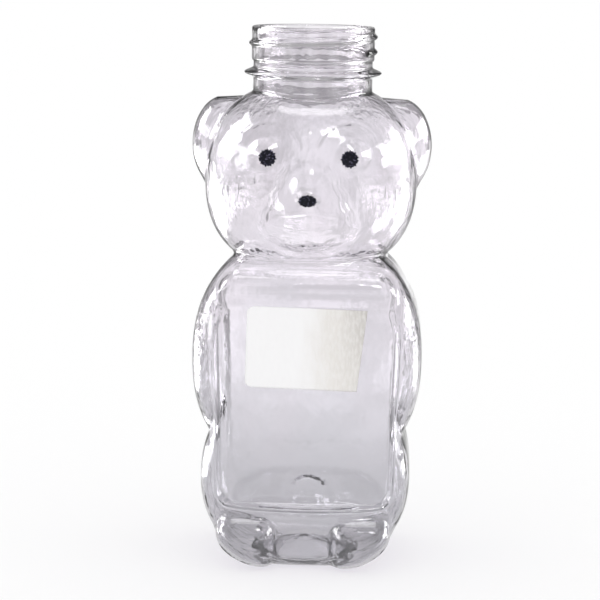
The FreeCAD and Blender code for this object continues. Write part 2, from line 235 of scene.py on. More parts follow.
def rounded_form(x, y, z, centre, half, square, plan_square=None):
    """Distance, to first order, of points from a rounded form: negative inside it."""
    plan_square = plan_square or square
    across = np.abs(x - centre[0]) / half[0]
    along = np.abs(y - centre[1]) / half[1]
    up = np.abs(z - centre[2]) / half[2]
    plan = (across**plan_square + along**plan_square) ** (1 / plan_square) + 1e-9
    reach = (plan**square + up**square) ** (1 / square) + 1e-9
    level = (plan / reach) ** (square - 1)
    side = level * (across / plan) ** (plan_square - 1) / half[0]
    front = level * (along / plan) ** (plan_square - 1) / half[1]
    steep = (up / reach) ** (square - 1) / half[2]
    return (reach - 1) / np.sqrt(side**2 + front**2 + steep**2 + 1e-12)


def melt(one, other, blend):
    """Join two forms with a rounded crease between them."""
    share = np.maximum(blend - np.abs(one - other), 0) / blend
    return np.minimum(one, other) - share * share * blend / 4


def melt_forms(body, forms, x, y, z):
    """Join forms to a body, one after another."""
    for centre, half, square, blend, *plan_square in forms.values():
        form = rounded_form(x, y, z, centre, half, square, *plan_square)
        body = form if body is None else melt(body, form, blend)
    return body


def smooth(value, low, high):
    """0 below low, 1 above high, and an even S between them."""
    share = np.clip((value - low) / (high - low), 0, 1)
    return share * share * (3 - 2 * share)


def bump(value, half):
    """A rounded ridge over value = 0, which ends at plus and minus half."""
    share = np.clip(np.abs(value) / half, 0, 1)
    return (1 - share * share) ** 2


def oval(x, z, centre, half):
    """A rounded mound over an oval, as seen from the front: 1 in its middle, 0 at its edge."""
    return bump(np.hypot((x - centre[0]) / half[0], (z - centre[1]) / half[1]), 1)


def recess(x, z, depth, low):
    """Distance from the room before a flat panel with rounded corners and slanting sides."""
    half_width = PANEL["half_width"] + PANEL_SPREAD * (z - PANEL["low"])
    half_width = half_width - PANEL_DRAFT * np.minimum(depth, 0)
    low = low - PANEL_SAG * np.maximum(1 - (x / PANEL["half_width"]) ** 2, 0)
    beside = x - (half_width - PANEL["corner"])
    beyond = np.maximum(z - (PANEL["high"] - PANEL["corner"]), low + PANEL["corner"] - z)
    corner = np.hypot(np.maximum(beside, 0), np.maximum(beyond, 0))
    outline = corner + np.minimum(np.maximum(beside, beyond), 0) - PANEL["corner"]
    fillet = PANEL["fillet"] + TOP_FILLET * smooth(z, *TOP_FILLET_HEIGHTS)
    return -melt(-outline, -depth, fillet)


def bear(x, y, z):
    """Distance of points from the outer skin of the bear."""
    x = np.abs(x)
    body = melt_forms(None, TRUNK_FORMS, x, y, z)
    body = melt(body, rounded_form(x, z, y, *HIPS), HIP_BLEND)
    front_edge = PANEL["edge"] + SOFT_EDGE * smooth(z, *FRONT_SOFT_HEIGHTS)
    body = -melt(-body, recess(x, z, y + PANEL["depth"], PANEL["low"]), front_edge)
    back_edge = SOFT_EDGE * (1 + BACK_SOFTER * smooth(z, *BACK_SOFT_HEIGHTS))
    body = -melt(-body, recess(x, z, PANEL["depth"] - y, -PANEL["high"]), back_edge)
    legs = melt_forms(None, LEG_FORMS, x, y, z)
    legs = -melt(-legs, -rounded_form(x, z, HIPS[0][2], *HIPS), OUTLINE_BLEND)
    body = melt_forms(melt(body, legs, LEG_EDGE), BACK_FORMS, x, y, z)
    head = melt_forms(rounded_form(x, y, z, *HEAD[:3]), HEAD_FORMS, x, y, z)
    return melt(body, head, HEAD[3])


def fur_place(x, z):
    """Where the skin has moulded fur: a patch's share in its middle, 0 outside all of them."""
    place = 0
    for centre, half, share in FUR_PATCHES:
        place = np.maximum(place, share * oval(x, z, centre, half))
    return place


def fur(x, y, z):
    """Height of the wavy locks of moulded fur."""
    along = FUR["girth"] * np.arctan2(x, -y)
    sway = FUR_SWAY * np.sin(2 * math.pi * z / FUR["length"] + FUR_SLANT * along)
    lock = np.sin(2 * math.pi * along / FUR["width"] + sway)
    tip = np.sin(2 * math.pi * z / FUR["width"] + FUR_TIP_SWAY * np.sin(along))
    locks = lock * (FUR_SHARES["even"] + FUR_SHARES["broken"] * tip) + FUR_SHARES["tips"] * tip
    return FUR["height"] * fur_place(x, z) * locks


def carving(x, y, z):
    """How far brows, cheek lines and fur stand out of the skin, and mouth and ears lie in it."""
    x = np.abs(x)
    front = smooth(-y, 0, FRONT_FADE)
    across = x - BROW["centre"][0]
    up = z - BROW["centre"][1]
    bearing = np.degrees(np.arctan2(up, across))
    ends = smooth(bearing, BROW_DEGREES[0] - BROW_FADE_DEGREES, BROW_DEGREES[0])
    ends = ends * (1 - smooth(bearing, BROW_DEGREES[1], BROW_DEGREES[1] + BROW_FADE_DEGREES))
    arch = bump(np.hypot(across, up) - BROW["radius"], BROW["half_width"])
    relief = BROW["height"] * arch * ends
    for height, rise, half_length, half_width, depth in LIPS:
        line = depth * bump(z - height - rise * x**2, half_width)
        relief = relief - line * (1 - smooth(x, half_length * LIP_FULL_SHARE, half_length))
    top, bottom = CHEEK_LINE["top"], CHEEK_LINE["bottom"]
    down = (top[1] - z) / (top[1] - bottom[1])
    ends = smooth(down, *CHEEK_FADE_IN) * (1 - smooth(down, *CHEEK_FADE_OUT))
    wiggle = CHEEK_WIGGLE * np.sin(2 * math.pi * z / FUR["length"])
    ridge = bump(x - top[0] - (bottom[0] - top[0]) * down - wiggle, CHEEK_LINE["half_width"])
    relief = relief + CHEEK_LINE["height"] * ridge * ends
    dish = oval(x, z, EAR_DISH["centre"], EAR_DISH["half"])
    relief = relief - EAR_DISH["depth"] * dish
    return front * relief + fur(x, y, z)


def neck_radius(angle, z):
    """Radius of the neck: its bead, the threaded wall and the thread."""
    drop = RIM - z
    bead = bump(drop - BEAD_DROP, BEAD_HALF)
    radius = NECK["radius"] + (NECK["bead_radius"] - NECK["radius"]) * bead
    step = smooth(-drop, -FINISH_DROP - FINISH_STEP, -FINISH_DROP)
    radius = radius + (NECK["finish_radius"] - NECK["radius"]) * step
    turn = ((angle - math.radians(THREAD_START_DEGREES)) / (2 * math.pi)) % 1
    for lap in range(math.ceil(THREAD["turns"])):
        run = turn + lap
        taper = smooth(np.minimum(run, THREAD["turns"] - run), 0, THREAD["taper"])
        ridge = bump(drop - THREAD["start_drop"] + THREAD["pitch"] * run, THREAD["half_width"])
        radius = radius + THREAD["height"] * ridge * taper
    return radius


def outer_gap(x, y, z):
    """Distance of points from the outside of the bottle."""
    skin = -melt(-bear(x, y, z) + carving(x, y, z), z, EDGE_OF_BASE)
    wall = np.where(z > RIM - NECK_FOOT_DROP, neck_radius(np.arctan2(x, -y), z), 0)
    return melt(skin, np.hypot(x, y) - wall, NECK_BLEND)


def inner_gap(x, y, z):
    """Distance of points from the inside of the bottle."""
    mouth = np.hypot(x, y) - np.where(z > RIM - NECK_FOOT_DROP, BORE, 0)
    return melt(bear(x, y, z) + WALL, mouth, BORE_BLEND)


def columns():
    """Angles of the columns round the axis, then their angles and starts on the trunk."""
    across, depth, count = np.array(TRUNK_SECTION, float).T
    stops = np.cumsum(count)
    place = np.arange(stops[-1] + 1)
    across, depth = np.interp(place, stops, across), np.interp(place, stops, depth)
    turn = math.pi * place / stops[-1]
    core = CORE_SHARE * np.minimum(across, CORE_END)
    halves = (turn - FRONT_CROWDING_SHARE * np.sin(turn), np.arctan2(across - core, -depth), core)
    return [np.concatenate([-right[:0:-1], right]) for right in halves]


ROUND_ANGLE, TRUNK_ANGLE, TRUNK_CORE = columns()


def solve(gap, heights):
    """Points where the columns meet a surface at these heights, which sag with the front panel."""
    low, full, end, gone = CORE_HEIGHTS
    full = CORE_MIDDLE_FULL + (full - CORE_MIDDLE_FULL) * (TRUNK_CORE / CORE_END) ** 2
    middle = np.maximum(1 - (TRUNK_CORE / CORE_SHARE / PANEL["half_width"]) ** 2, 0)
    middle = middle * (np.abs(TRUNK_ANGLE) < math.pi / 2)
    level = heights[:, None]
    z = level - PANEL_SAG * middle * bump(level - PANEL["low"], SAG_REACH)
    share = smooth(z, low, full) * (1 - smooth(z, end, gone))
    angle = ROUND_ANGLE + share * (TRUNK_ANGLE - ROUND_ANGLE)
    reach = np.full(z.shape, START_REACH)
    for _ in range(SOLVE_STEPS):
        x, y = share * TRUNK_CORE + reach * np.sin(angle), -reach * np.cos(angle)
        miss = gap(x, y, z)
        reach = reach - miss
        if np.abs(miss).max() < SOLVE_TOLERANCE:
            break
    return np.stack([x, y, z], axis=2)


def spaced(first, *stops):
    """Heights that run from stop to stop, each given as (height, number of rows up to it)."""
    heights = [first]
    for height, count in stops:
        heights.extend(np.linspace(heights[-1], height, count + 1)[1:])
    return np.array(heights)


def dome(radius, growth):
    """Height of the push-up, moved up by a growth."""
    swell = bump(np.asarray(radius, float), PUSH_UP["radius"] + growth)
    gate = bump(np.asarray(radius, float), PUSH_UP["gate_radius"] + growth)
    return PUSH_UP["height"] * swell + PUSH_UP["gate_height"] * gate + growth


def bottle_rows():
    """Points of every row of the skin, from under the base to above it inside."""
    rows = []

    def ring(radius, height):
        level = np.broadcast_to(height, ROUND_ANGLE.shape)
        x, y = radius * np.sin(ROUND_ANGLE), -radius * np.cos(ROUND_ANGLE)
        rows.append(np.stack([x, y, level], axis=1))

    def lip(radius, turns, side):
        for turn in turns:
            inset = side * RIM_ROUND * (1 - math.cos(turn))
            ring(radius - inset, RIM - RIM_ROUND * (1 - math.sin(turn)))

    for radius in np.linspace(0, PUSH_UP["radius"], PUSH_UP_ROWS):
        ring(radius, dome(radius, 0))
    outer = solve(outer_gap, spaced(*OUTER_ROWS))
    foot_edge = np.hypot(outer[0, :, 0], outer[0, :, 1])
    for share in BASE_RING_SHARES:
        ring(PUSH_UP["radius"] + (foot_edge - PUSH_UP["radius"]) * share, 0)
    rows.extend(outer)
    lip(NECK["finish_radius"], np.linspace(0, math.pi / 2, OUTER_LIP_ROWS), 1)
    lip(BORE, np.linspace(math.pi / 2, 0, INNER_LIP_ROWS), -1)
    inner = solve(inner_gap, spaced(*INNER_ROWS))
    rows.extend(inner)
    floor_edge = np.hypot(inner[-1, :, 0], inner[-1, :, 1])
    inside_edge = PUSH_UP["radius"] + FLOOR_THICKNESS
    for share in FLOOR_RING_SHARES:
        ring(inside_edge + (floor_edge - inside_edge) * share, FLOOR_THICKNESS)
    for radius in np.linspace(inside_edge, 0, INNER_PUSH_UP_ROWS):
        ring(radius, dome(radius, FLOOR_THICKNESS))
    return np.array(rows)


WELD_DISTANCE = 1e-6


def grid_of(points):
    """Sheet of quads through an array of points by row and column, as the active object."""
    last_row, last_column = points.shape[0] - 1, points.shape[1] - 1
    bpy.ops.object.select_all(action="DESELECT")
    bpy.ops.mesh.primitive_grid_add(x_subdivisions=last_column, y_subdivisions=last_row, size=2)
    piece = bpy.context.active_object
    flat = np.empty(len(piece.data.vertices) * 3, np.float32)
    piece.data.vertices.foreach_get("co", flat)
    flat = flat.reshape(-1, 3)
    column = np.rint((flat[:, 0] + 1) / 2 * last_column).astype(int)
    row = np.rint((flat[:, 1] + 1) / 2 * last_row).astype(int)
    piece.data.vertices.foreach_set("co", (points[row, column] * MM).astype(np.float32).ravel())
    piece.data.update()
    return piece


def weld(piece, name):
    """Join the points that lie on each other, turn all faces outwards and shade them smooth."""
    piece.name = name
    piece.data.name = name
    bpy.ops.object.mode_set(mode="EDIT")
    bpy.ops.mesh.select_all(action="SELECT")
    bpy.ops.mesh.remove_doubles(threshold=WELD_DISTANCE)
    bpy.ops.mesh.normals_make_consistent(inside=False)
    bpy.ops.object.mode_set(mode="OBJECT")
    bpy.ops.object.shade_smooth()
    return piece


# Painted shade on the skin: darker plastic over the rump behind the back wall, and darker lines
# along the creases there
RUMP_CREASE = 1.6
TAIL_CREASE = 1.8
CREASE_DEPTHS = (12, 20)
CREASE_TOP = PANEL["low"] + 4
SHADE_SHARE = 0.45
SHADE_FADE = 1.5
SHADE_BOTTOM = 1.5


def bear_skin():
    """The blown skin, with marks where it carries moulded fur outside and painted shade over the
    rump and its creases.
    """
    piece = weld(grid_of(bottle_rows()), "bear_skin")
    points = np.empty(len(piece.data.vertices) * 3, np.float32)
    piece.data.vertices.foreach_get("co", points)
    x, y, z = points.reshape(-1, 3).T / MM
    outside = bear(x, y, z) > -WALL / 2
    rump = rounded_form(x, y, z, *LEG_FORMS["rump"][:3], LEG_FORMS["rump"][4])
    tail = rounded_form(x, y, z, *BACK_FORMS["tail"][:3])
    wall = y - PANEL["depth"]
    round_tail = bump(tail - np.minimum(rump, wall), TAIL_CREASE)
    crease = np.maximum(bump(rump - wall, RUMP_CREASE), round_tail)
    crease = crease * smooth(y, *CREASE_DEPTHS) * (z < CREASE_TOP)
    # painted shade: the plastic over the rump behind the back wall is tinted darker, and darker
    # still along the creases there
    painted_shade = SHADE_SHARE * smooth(wall - rump, 0, SHADE_FADE) * (y > 0) * (z > SHADE_BOTTOM)
    painted_shade = np.maximum(painted_shade, crease)
    for name, value in (("fur", fur_place(np.abs(x), z) * outside), ("painted_shade", painted_shade)):
        marks = piece.data.attributes.new(name, "FLOAT", "POINT")
        marks.data.foreach_set("value", value.astype(np.float32))
    return piece


# Films of ink, with a wavy edge of two waves: share, waves round the edge
INK_THICKNESS = 0.1
INK_EDGE_LEVEL = INK_THICKNESS * 0.6
INK_SINK = 0.03
INK_SPOKES = 96
INK_SHARES = (0, 0.15, 0.3, 0.45, 0.6, 0.75, 0.88, 0.97, 1)
INK_INSET = 0.25
INK_FINE_WAVE = (0.6, 19)
INK_FINE_PHASE = 0.6
INK_COARSE_WAVE = (0.4, 11)
INK_RAGGED = {"left_eye": 0.13, "right_eye": 0.13, "nose": 0.1}


def on_front(x, z, level):
    """Depth of the skin, moved out by a level, at these places of the face."""
    y = np.full(np.broadcast(x, z).shape, START_DEPTH)
    for _ in range(SOLVE_STEPS):
        miss = bear(x, y, z) - carving(x, y, z) - level
        y = y + miss
        if np.abs(miss).max() < SOLVE_TOLERANCE:
            break
    return y


def printed(node, ragged):
    """Film of ink with a ragged edge, laid on the skin where its solid is."""
    low, high = node_box(node)
    centre = (low + high) / 2
    half = (high - low) / 2
    turn = np.linspace(0, 2 * math.pi, INK_SPOKES + 1)
    fine = INK_FINE_WAVE[0] * np.sin(INK_FINE_WAVE[1] * turn + INK_FINE_PHASE)
    coarse = INK_COARSE_WAVE[0] * np.sin(INK_COARSE_WAVE[1] * turn + centre[0])
    edge = 1 - ragged * (INK_INSET + fine + coarse)
    rows = []
    for level, shares in ((INK_THICKNESS, INK_SHARES), (-INK_SINK, INK_SHARES[::-1])):
        for share in shares:
            x = centre[0] + half[0] * share * edge * np.cos(turn)
            z = centre[2] + half[2] * share * edge * np.sin(turn)
            lift = level if share < 1 else min(level, INK_EDGE_LEVEL)
            rows.append(np.stack([x, on_front(x, z, lift), z], axis=1))
    return weld(grid_of(np.array(rows)), f"{node}_print")


LABEL_POINTS = (61, 45)
LABEL_LEAN_DEGREES = 1.2
LABEL_CORNER = 2.4
LABEL_CUT_BACK = 2.6
LABEL_THICKNESS = 0.12
LABEL_LIFT = 0.5
LABEL_LIFT_FROM = (0.72, 1.05)
LABEL_LIFT_BOTTOM = 0.35
LABEL_LIFT_GROWTH = 0.65
LABEL_RIPPLE = 0.06
LABEL_RIPPLE_TURNS = (9, 5)
LABEL_RIPPLE_FROM = (0.3, 0.8)


def paper_sheet():
    """Label with two round corners on the left, a slanting cut and a lifting edge on the right."""
    low, high = node_box("paper_label")
    lean = math.radians(LABEL_LEAN_DEGREES)
    across = np.linspace(0, 1, LABEL_POINTS[0])[None, :]
    up = np.linspace(0, 1, LABEL_POINTS[1])[:, None]
    height = (high[2] - low[2]) - (high[0] - low[0]) * math.sin(lean)
    width = (high[0] - low[0]) - height * math.sin(lean)
    into_corner = np.clip(LABEL_CORNER - np.minimum(up, 1 - up) * height, 0, None)
    inset = LABEL_CORNER - np.sqrt(LABEL_CORNER**2 - into_corner**2)
    right = width - LABEL_CUT_BACK * (1 - up)
    x = inset + (right - inset) * across - width / 2
    z = up * height - height / 2 + 0 * across
    lift = LABEL_LIFT * smooth(across, *LABEL_LIFT_FROM)
    lift = lift * (LABEL_LIFT_BOTTOM + LABEL_LIFT_GROWTH * up)
    ripple = 1 + np.sin(LABEL_RIPPLE_TURNS[0] * across + LABEL_RIPPLE_TURNS[1] * up)
    lift = lift + LABEL_RIPPLE * ripple * smooth(across, *LABEL_RIPPLE_FROM)
    y = high[1] - LABEL_THICKNESS - lift
    leaned_x = x * math.cos(lean) + z * math.sin(lean)
    leaned_z = z * math.cos(lean) - x * math.sin(lean)
    middle = (low + high) / 2
    piece = grid_of(np.stack([leaned_x + middle[0], y + 0 * x, leaned_z + middle[2]], axis=2))
    thicken = piece.modifiers.new("paper", "SOLIDIFY")
    thicken.thickness = LABEL_THICKNESS * MM
    thicken.offset = 0
    bpy.ops.object.modifier_apply(modifier=thicken.name)
    return weld(piece, "blank_label")


class Wiring:
    """Short way to add nodes to a tree and to wire numbers and sockets to their inputs."""

    def __init__(self, tree):
        self.tree = tree

    def add(self, kind, settings=(), **inputs):
        node = self.tree.nodes.new(kind)
        for key, value in dict(settings).items():
            setattr(node, key, value)
        for key, value in inputs.items():
            self.set(node.inputs[key.replace("_", " ")], value)
        return node

    def set(self, socket, value):
        if isinstance(value, bpy.types.NodeSocket):
            self.tree.links.new(value, socket)
        else:
            socket.default_value = value

    def math(self, operation, *values):
        node = self.tree.nodes.new("ShaderNodeMath")
        node.operation = operation
        for socket, value in zip(node.inputs, values):
            self.set(socket, value)
        return node.outputs[0]

    def ramp(self, value, low, high, at_low=0.0, at_high=1.0):
        node = self.tree.nodes.new("ShaderNodeMapRange")
        node.interpolation_type = "SMOOTHSTEP"
        for socket, number in zip(list(node.inputs)[:5], (value, low, high, at_low, at_high)):
            self.set(socket, number)
        return node.outputs[0]

    def blend(self, share, first, second):
        """Colour between two others."""
        node = self.tree.nodes.new("ShaderNodeMix")
        node.data_type = "RGBA"
        colours = [(*c, 1) if isinstance(c, tuple) else c for c in (first, second)]
        sockets = (node.inputs[0], node.inputs[6], node.inputs[7])
        for socket, value in zip(sockets, (share, *colours)):
            self.set(socket, value)
        return node.outputs[2]

    def mottle(self, density, stretch, low, high):
        node = self.tree.nodes.new("ShaderNodeGroup")
        node.node_tree = MOTTLE
        for socket, value in zip(node.inputs, (density, stretch, low, high)):
            self.set(socket, value)
        return node.outputs[0]

    def attribute(self, name):
        return self.add("ShaderNodeAttribute", {"attribute_name": name}).outputs["Fac"]

    def place(self):
        """X, Y and Z of the point that is shaded."""
        place = self.add("ShaderNodeTexCoord").outputs["Object"]
        return self.add("ShaderNodeSeparateXYZ", Vector=place).outputs

    def bump(self, height):
        """Normal of a surface raised by a height in millimetres."""
        return self.add("ShaderNodeBump", Height=height, Distance=MM).outputs[0]

    def off(self, bearing, middle):
        """Degrees between a bearing and a middle, on either side."""
        turned = self.math("WRAP", self.math("SUBTRACT", bearing, middle), 180, -180)
        return self.math("ABSOLUTE", turned)


def new_material(name):
    """New material, its wiring and its shader."""
    material = bpy.data.materials.new(name)
    material.use_nodes = True
    return material, Wiring(material.node_tree), material.node_tree.nodes["Principled BSDF"]


def mottle_group():
    """Uneven patches from 0 to 1: density per metre, stretch along the axes, edges low to high."""
    group = bpy.data.node_groups.new("mottle", "ShaderNodeTree")
    asked_for = (("Density", "Float"), ("Stretch", "Vector"), ("Low", "Float"), ("High", "Float"))
    for name, kind in asked_for:
        group.interface.new_socket(name, in_out="INPUT", socket_type=f"NodeSocket{kind}")
    group.interface.new_socket("Mask", in_out="OUTPUT", socket_type="NodeSocketFloat")
    wire = Wiring(group)
    asked = wire.add("NodeGroupInput").outputs
    place = wire.add("ShaderNodeVectorMath", {"operation": "MULTIPLY"})
    wire.set(place.inputs[0], wire.add("ShaderNodeTexCoord").outputs["Object"])
    wire.set(place.inputs[1], asked["Stretch"])
    place = place.outputs[0]
    noise = wire.add("ShaderNodeTexNoise", Vector=place, Scale=asked["Density"], Detail=3.0)
    mask = wire.ramp(noise.outputs[0], asked["Low"], asked["High"])
    wire.add("NodeGroupOutput", Mask=mask)
    return group


MOTTLE = mottle_group()

# Plastic. Patches are given as the mottle takes them, and ramps as (from, to, value at each).
PLASTIC_TINT = (0.917, 0.888, 0.927)
PLASTIC_COOL = (0.893, 0.886, 0.921)
# painted shade: tint of the plastic over the rump and along its creases
PLASTIC_SHADE = (0.79, 0.78, 0.815)
PLASTIC_PASSING = (0.92, 0.91, 0.93, 1)
PLASTIC_IOR = 1.57
COOL_RAMP = (0.02, 0.11, 0.6, 0.0)
COOL_PATCHES = (45, (1, 1, 0.5), 0.3, 0.7)
COOL_PATCH_SHARE = 0.4
SCUFF_RAMP = (0.0, 0.003, 2.0, 0.0)
SCUFF_PATCHES = (260, (1, 1, 1), 0.5, 0.8)
SCUFF_ROUGHNESS = 0.05
PLASTIC_ROUGHNESS = 0.012
LOCK_PATCHES = (520, (1, 1, 0.3), 0.35, 0.65)
LOCK_HEIGHT = 0.12
WAVE_PATCHES = (80, (1, 1, 0.7), 0.2, 0.8)
WAVE_HEIGHT = 0.18
RIPPLE_PATCHES = (240, (1, 1, 0.7), 0.2, 0.8)
RIPPLE_HEIGHT = 0.02


def clear_plastic():
    """Blown PET: faintly lavender, wavy where the mould left it, brushed by the locks of fur."""
    material, wire, shader = new_material("clear_plastic")
    height = wire.place()[2]
    cool = wire.ramp(height, *COOL_RAMP)
    cool = wire.math("MULTIPLY_ADD", wire.mottle(*COOL_PATCHES), COOL_PATCH_SHARE, cool)
    tint = wire.blend(cool, PLASTIC_TINT, PLASTIC_COOL)
    # painted shade darkens the tint over the rump and along its creases
    tint = wire.blend(wire.attribute("painted_shade"), tint, PLASTIC_SHADE)
    wire.set(shader.inputs["Base Color"], tint)
    scuffed = wire.math("ADD", wire.mottle(*SCUFF_PATCHES), wire.ramp(height, *SCUFF_RAMP))
    rough = wire.math("MULTIPLY_ADD", scuffed, SCUFF_ROUGHNESS, PLASTIC_ROUGHNESS)
    wire.set(shader.inputs["Roughness"], rough)
    locks = wire.math("MULTIPLY", wire.mottle(*LOCK_PATCHES), wire.attribute("fur"))
    waves = wire.math("MULTIPLY", locks, LOCK_HEIGHT)
    waves = wire.math("MULTIPLY_ADD", wire.mottle(*WAVE_PATCHES), WAVE_HEIGHT, waves)
    waves = wire.math("MULTIPLY_ADD", wire.mottle(*RIPPLE_PATCHES), RIPPLE_HEIGHT, waves)
    wire.set(shader.inputs["Normal"], wire.bump(waves))
    shader.inputs["IOR"].default_value = PLASTIC_IOR
    shader.inputs["Transmission Weight"].default_value = 1.0
    path = wire.add("ShaderNodeLightPath").outputs
    passing = wire.add("ShaderNodeBsdfTransparent", Color=PLASTIC_PASSING).outputs[0]
    straight = wire.math("MAXIMUM", path["Is Shadow Ray"], path["Is Diffuse Ray"])
    lit = wire.add("ShaderNodeMixShader", Fac=straight)
    wire.set(lit.inputs[1], shader.outputs[0])
    wire.set(lit.inputs[2], passing)
    wire.set(material.node_tree.nodes["Material Output"].inputs["Surface"], lit.outputs[0])
    return material


INK_FULL = (0.008, 0.008, 0.014)
INK_WORN = (0.13, 0.12, 0.19)
INK_FLECKS = (1500, (1, 1, 1.6), 0.57, 0.68)
INK_FLECK_ROUGHNESS = 0.3
INK_ROUGHNESS = 0.35
INK_SPECULAR = 0.15
INK_FLECK_HEIGHT = -0.04


def black_ink():
    """Printed ink, worn thin in flecks that let the plastic show."""
    material, wire, shader = new_material("black_ink")
    flecks = wire.mottle(*INK_FLECKS)
    wire.set(shader.inputs["Base Color"], wire.blend(flecks, INK_FULL, INK_WORN))
    rough = wire.math("MULTIPLY_ADD", flecks, INK_FLECK_ROUGHNESS, INK_ROUGHNESS)
    wire.set(shader.inputs["Roughness"], rough)
    shader.inputs["Specular IOR Level"].default_value = INK_SPECULAR
    wire.set(shader.inputs["Normal"], wire.bump(wire.math("MULTIPLY", flecks, INK_FLECK_HEIGHT)))
    return material


PAPER_WHITE = (0.93, 0.925, 0.93)
PAPER_WHITE_FIBRE = (0.9, 0.89, 0.9)
PAPER_TORN = (0.8, 0.775, 0.745)
# painted shade: darker grey of the torn paper towards its upper right corner
PAPER_CORNER_SHADE = (0.6, 0.575, 0.55)
PAPER_TORN_FIBRE = (0.87, 0.855, 0.84)
TEAR_PATCHES = (300, (1, 1, 0.3), 0.2, 0.8)
TEAR_SPREAD = 0.12
TEAR_SHARES = (0.46, 0.84)
# share of the width and level at the bottom of the painted shade at the upper right corner
CORNER_SHADE_SHARE = 0.3
CORNER_SHADE_AT_BOTTOM = 0.35
FIBRE_PATCHES = (1100, (1, 1, 0.35), 0.35, 0.7)
WHITE_FIBRE_SHARE = 0.3
TORN_FIBRE_SHARE = 0.5
PAPER_ROUGHNESS = 0.65
TORN_ROUGHNESS = 0.25
FIBRE_HEIGHT = 0.01
TORN_FIBRE_HEIGHT = 0.06


def white_paper():
    """Label paper: smooth and white on its left, torn, greyer and rougher on its right, with
    painted shade towards its upper right corner.
    """
    material, wire, shader = new_material("white_paper")
    low, high = node_box("paper_label") * np.array(MM)
    x, _, z = wire.place()
    width = high[0] - low[0]
    edge = wire.math("MULTIPLY_ADD", wire.mottle(*TEAR_PATCHES), width * TEAR_SPREAD, x)
    torn = wire.ramp(edge, *(low[0] + width * share for share in TEAR_SHARES))
    # painted shade, growing towards the right edge and the top of the label
    corner_shade = wire.ramp(x, high[0] - width * CORNER_SHADE_SHARE, high[0])
    corner_shade = wire.math("MULTIPLY", wire.ramp(z, low[2], high[2], CORNER_SHADE_AT_BOTTOM, 1.0), corner_shade)
    fibres = wire.mottle(*FIBRE_PATCHES)
    grey = wire.blend(corner_shade, PAPER_TORN, PAPER_CORNER_SHADE)
    grey = wire.blend(wire.math("MULTIPLY", fibres, TORN_FIBRE_SHARE), grey, PAPER_TORN_FIBRE)
    white = wire.math("MULTIPLY", fibres, WHITE_FIBRE_SHARE)
    white = wire.blend(white, PAPER_WHITE, PAPER_WHITE_FIBRE)
    wire.set(shader.inputs["Base Color"], wire.blend(torn, white, grey))
    rough = wire.math("MULTIPLY_ADD", torn, TORN_ROUGHNESS, PAPER_ROUGHNESS)
    wire.set(shader.inputs["Roughness"], rough)
    height = wire.math("MULTIPLY_ADD", torn, TORN_FIBRE_HEIGHT, FIBRE_HEIGHT)
    wire.set(shader.inputs["Normal"], wire.bump(wire.math("MULTIPLY", fibres, height)))
    return material


def dress(piece, node, material):
    """Give a piece its material, hang it on the root body and hide the solid that it stands for."""
    piece.data.materials.clear()
    piece.data.materials.append(material)
    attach(piece, "root")
    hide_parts(node)


dress(bear_skin(), "bottle", clear_plastic())
ink = black_ink()
for node, ragged in INK_RAGGED.items():
    dress(printed(node, ragged), node, ink)
dress(paper_sheet(), "paper_label", white_paper())

CAMERA_DISTANCE = 800
CAMERA_HEIGHT = 212.4
CAMERA_YAW_DEGREES = 2
CAMERA_ROLL_DEGREES = 0.9
CAMERA_TARGET = (-3.2, 0, 88)
CAMERA_LENS = 140.8
CAMERA_SENSOR = 36
CAMERA_CLIP_START = 0.01


def look_at(position, target, roll_degrees):
    """Turn of a camera that stands at a position, faces a target and is rolled."""
    back = (position - target).normalized()
    right = Vector((0, 0, 1)).cross(back).normalized()
    up = back.cross(right)
    turned = Matrix((right, up, back)).transposed()
    return turned @ Matrix.Rotation(math.radians(roll_degrees), 3, "Z")


def add_camera():
    """Camera where the photograph was taken from, a little from above and from the right."""
    yaw = math.radians(CAMERA_YAW_DEGREES)
    across, away = CAMERA_DISTANCE * math.sin(yaw), -CAMERA_DISTANCE * math.cos(yaw)
    position = Vector((across, away, CAMERA_HEIGHT)) * MM
    target = Vector(CAMERA_TARGET) * MM
    bpy.ops.object.camera_add(location=position)
    camera = bpy.context.active_object
    camera.rotation_euler = look_at(position, target, CAMERA_ROLL_DEGREES).to_euler()
    camera.data.lens = CAMERA_LENS
    camera.data.sensor_width = CAMERA_SENSOR
    camera.data.clip_start = CAMERA_CLIP_START
    bpy.context.scene.camera = camera


# Room that the plastic bends and reflects
CARDS = {"count": 8, "from": -0.9, "to": 0.5, "level": 0.35}
CLUTTER = {"scale": 8.0, "from": 0.35, "to": 0.65, "low": 0.8, "high": 1.12, "drift": 24.0}
ROOM_LEVEL = 0.45
DOME_LEVEL = 1.12
WINDOWS = (
    # bearing from the camera's way of looking, half width, lowest and highest edge, level
    (-84, 15, 0.1, 0.7, 8.0),
    (85, 26, 0.06, 0.36, 7.0),
    (168, 6, 0.58, 0.72, 9.0),
    (-122, 12, 0.04, 0.3, 5.0),
    (0, 180, 0.93, 2.0, 2.8),
)
WINDOW_FADE = 4
SILL_FADE = 0.04
HEAD_FADE = 0.06

# Floor
FLOOR_RADIUS = 8
FLOOR_CORNERS = 96
FLOOR_COLOUR = 0.8
FLOOR_SEEN_THROUGH = {"lit": 0.2, "glow": 0.8}
SEEN_SHARE = 0.88
EYE_OF_CARDS = (0, 0, 0.09)
CARDS_REACH = (0.1, 0.45)
# painted shadow: the floor that the plastic bends or reflects is darker near the bottle and dims a
# little far away; from, to and the light at each
NEAR_FLOOR = (0.05, 0.42, 0.7, 1.12)
FAR_FLOOR = (1.2, 2.4, 1.0, 0.92)
POOLS = (
    # bearing and half width of the pools of light that windows throw on the floor, their level
    (-64, 16, 7.0),
    (66, 12, 5.0),
)
POOL_FROM = 0.2
POOL_TO = 1.0
POOL_FADE = 1.3


